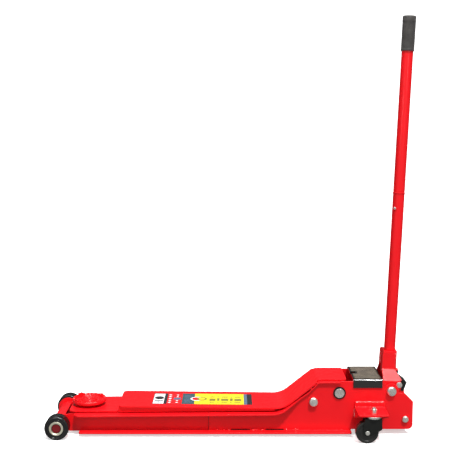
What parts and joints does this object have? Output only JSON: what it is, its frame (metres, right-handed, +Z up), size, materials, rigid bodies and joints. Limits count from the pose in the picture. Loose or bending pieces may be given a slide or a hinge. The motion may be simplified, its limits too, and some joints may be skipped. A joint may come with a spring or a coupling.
{
  "type": "trolley jack",
  "caption": "Long low trolley jack with a cranked lift arm, level round saddle, hydraulic ram unit, front wheels, rear casters and a tall pump handle.",
  "frame": {"origin": "on the floor, under the middle of the jack's length and width", "axes": "+X from the saddle towards the handle, +Y to the right side (left is the side of -Y, as seen from the handle looking at the saddle), +Z up"},
  "size_m": [1.22, 0.35, 1.3808],
  "materials": {
    "red_paint": "glossy red enamel over steel",
    "dark_red_paint": "dark red enamel on the axle ends",
    "red_casting": "red enamel over a rough casting",
    "zinc_plate": "bright zinc plate, slightly yellow",
    "bare_steel": "machined steel with a film of oil",
    "ram_chrome": "hard chrome",
    "spring_steel": "drawn spring wire",
    "black_paint": "gloss black enamel",
    "grey_casting": "grey paint over iron",
    "cover_rubber": "moulded black rubber, dusty on top",
    "grip_rubber": "soft black rubber",
    "wheel_black": "gloss black enamel over cast iron",
    "caster_nylon": "black nylon",
    "bush_yellow_zinc": "yellow zinc plate"
  },
  "bodies": {
    "chassis": {"left_front_rail": "red_paint", "right_front_rail": "red_paint", "left_side_plate": "red_paint", "right_side_plate": "red_paint", "front_axle": "dark_red_paint", "axle_spacers": "red_paint", "cross_plates": "red_paint", "left_caster_shelf": "red_paint", "right_caster_shelf": "red_paint", "top_cover": "cover_rubber", "arm_pivot_shaft": "zinc_plate", "retaining_rings": "black_paint", "rod_anchor_pin": "zinc_plate", "handle_pivot_bolts": "zinc_plate", "rear_tie_bolt": "zinc_plate", "block_spacers": "bare_steel", "pump_block": "grey_casting", "reservoir_tube": "grey_casting", "cylinder_gland": "bare_steel", "filler_plug": "zinc_plate", "pump_barrel": "bare_steel", "release_valve_gland": "bare_steel", "return_springs": "spring_steel", "pump_spring": "spring_steel", "king_pins": "zinc_plate"},
    "lift_arm": {"arm_beams": "red_paint", "arm_skirts": "red_paint", "arm_cover": "red_paint", "arm_hub_tube": "red_paint", "crank_pin": "bare_steel", "crank_roller": "bare_steel"},
    "saddle_carrier": {"saddle_carrier": "red_paint", "carrier_pins": "bare_steel"},
    "saddle": {"saddle": "red_casting"},
    "levelling_rods": {"levelling_rods": "red_paint"},
    "ram": {"ram": "ram_chrome", "ram_head": "bare_steel"},
    "handle_yoke": {"handle_yoke": "red_paint", "roller_pin": "zinc_plate", "pump_roller": "bare_steel", "roller_bracket": "black_paint"},
    "retaining_screw": {"retaining_screw": "red_paint"},
    "handle": {"lower_handle_tube": "red_paint", "upper_handle_tube": "red_paint", "handle_spigot": "bare_steel", "handle_grip": "grip_rubber", "drive_cup": "bare_steel"},
    "snap_button": {"snap_button": "zinc_plate"},
    "release_valve": {"release_spindle": "bare_steel"},
    "pump_piston": {"pump_piston": "zinc_plate"},
    "left_front_wheel": {"left_front_wheel": "wheel_black", "left_wheel_bush": "bush_yellow_zinc"},
    "right_front_wheel": {"right_front_wheel": "wheel_black", "right_wheel_bush": "bush_yellow_zinc"},
    "left_caster": {"left_caster_fork": "black_paint", "left_caster_axle": "zinc_plate"},
    "right_caster": {"right_caster_fork": "black_paint", "right_caster_axle": "zinc_plate"},
    "left_caster_wheel": {"left_caster_wheel": "caster_nylon"},
    "right_caster_wheel": {"right_caster_wheel": "caster_nylon"}
  },
  "joints": [
    {"name": "arm_lift", "type": "hinge", "parent": "chassis", "child": "lift_arm", "pos_m": [0.364, 0, 0.144], "axis": [0, 1, 0], "range_deg": [0, 42], "deforming": ["return_springs"]},
    {"name": "carrier_level", "type": "hinge", "parent": "lift_arm", "child": "saddle_carrier", "pos_m": [-0.44, 0, 0.056], "axis": [0, 1, 0], "range_deg": [-42, 0]},
    {"name": "saddle_turn", "type": "hinge", "parent": "saddle_carrier", "child": "saddle", "pos_m": [-0.48, 0, 0.095], "axis": [0, 0, 1], "continuous": true},
    {"name": "rod_swing", "type": "hinge", "parent": "chassis", "child": "levelling_rods", "pos_m": [0.278, 0, 0.114], "axis": [0, 1, 0], "range_deg": [0, 42]},
    {"name": "ram_stroke", "type": "slide", "parent": "chassis", "child": "ram", "axis": [-1, 0, 0], "range_m": [0, 0.0631]},
    {"name": "handle_pump", "type": "hinge", "parent": "chassis", "child": "handle_yoke", "pos_m": [0.537, 0, 0.15], "axis": [0, 1, 0], "range_deg": [0, 60], "stiffness_Nm_per_rad": 3, "springref_deg": -34.38},
    {"name": "handle_twist", "type": "hinge", "parent": "handle_yoke", "child": "handle", "pos_m": [0.537, 0, 0.15], "axis": [0.0366, 0, 0.9993], "range_deg": [0, 180]},
    {"name": "valve_turn", "type": "hinge", "parent": "chassis", "child": "release_valve", "pos_m": [0.537, 0, 0.15], "axis": [0.342, 0, 0.9397], "range_deg": [0, 180]},
    {"name": "pump_stroke", "type": "slide", "parent": "chassis", "child": "pump_piston", "axis": [0, 0, -1], "range_m": [0, 0.0324], "deforming": ["pump_spring"]},
    {"name": "snap_press", "type": "slide", "parent": "handle", "child": "snap_button", "axis": [0.6687, 0.7431, -0.0245], "range_m": [0, 0.003], "stiffness_N_per_m": 600, "springref_m": -0.002},
    {"name": "screw_turn", "type": "hinge", "parent": "handle_yoke", "child": "retaining_screw", "pos_m": [0.5389, 0, 0.20197], "axis": [0.9993, 0, -0.0366], "continuous": true},
    {"name": "left_front_wheel_roll", "type": "hinge", "parent": "chassis", "child": "left_front_wheel", "pos_m": [-0.57, -0.114, 0.04], "axis": [0, 1, 0], "continuous": true},
    {"name": "left_caster_swivel", "type": "hinge", "parent": "chassis", "child": "left_caster", "pos_m": [0.468, -0.15, 0.085], "axis": [0, 0, 1], "continuous": true},
    {"name": "left_caster_roll", "type": "hinge", "parent": "left_caster", "child": "left_caster_wheel", "pos_m": [0.446, -0.15, 0.0375], "axis": [0, 1, 0], "continuous": true},
    {"name": "right_front_wheel_roll", "type": "hinge", "parent": "chassis", "child": "right_front_wheel", "pos_m": [-0.57, 0.114, 0.04], "axis": [0, 1, 0], "continuous": true},
    {"name": "right_caster_swivel", "type": "hinge", "parent": "chassis", "child": "right_caster", "pos_m": [0.468, 0.15, 0.085], "axis": [0, 0, 1], "continuous": true},
    {"name": "right_caster_roll", "type": "hinge", "parent": "right_caster", "child": "right_caster_wheel", "pos_m": [0.446, 0.15, 0.0375], "axis": [0, 1, 0], "continuous": true}
  ],
  "couplings": [
    {"joint": "carrier_level", "follows": "arm_lift", "ratio": -1},
    {"joint": "rod_swing", "follows": "arm_lift", "ratio": 1},
    {"joint": "ram_stroke", "follows": "arm_lift", "m_per_rad": 0.08604},
    {"joint": "pump_stroke", "follows": "handle_pump", "m_per_rad": 0.03092},
    {"joint": "valve_turn", "follows": "handle_twist", "ratio": 1}
  ]
}
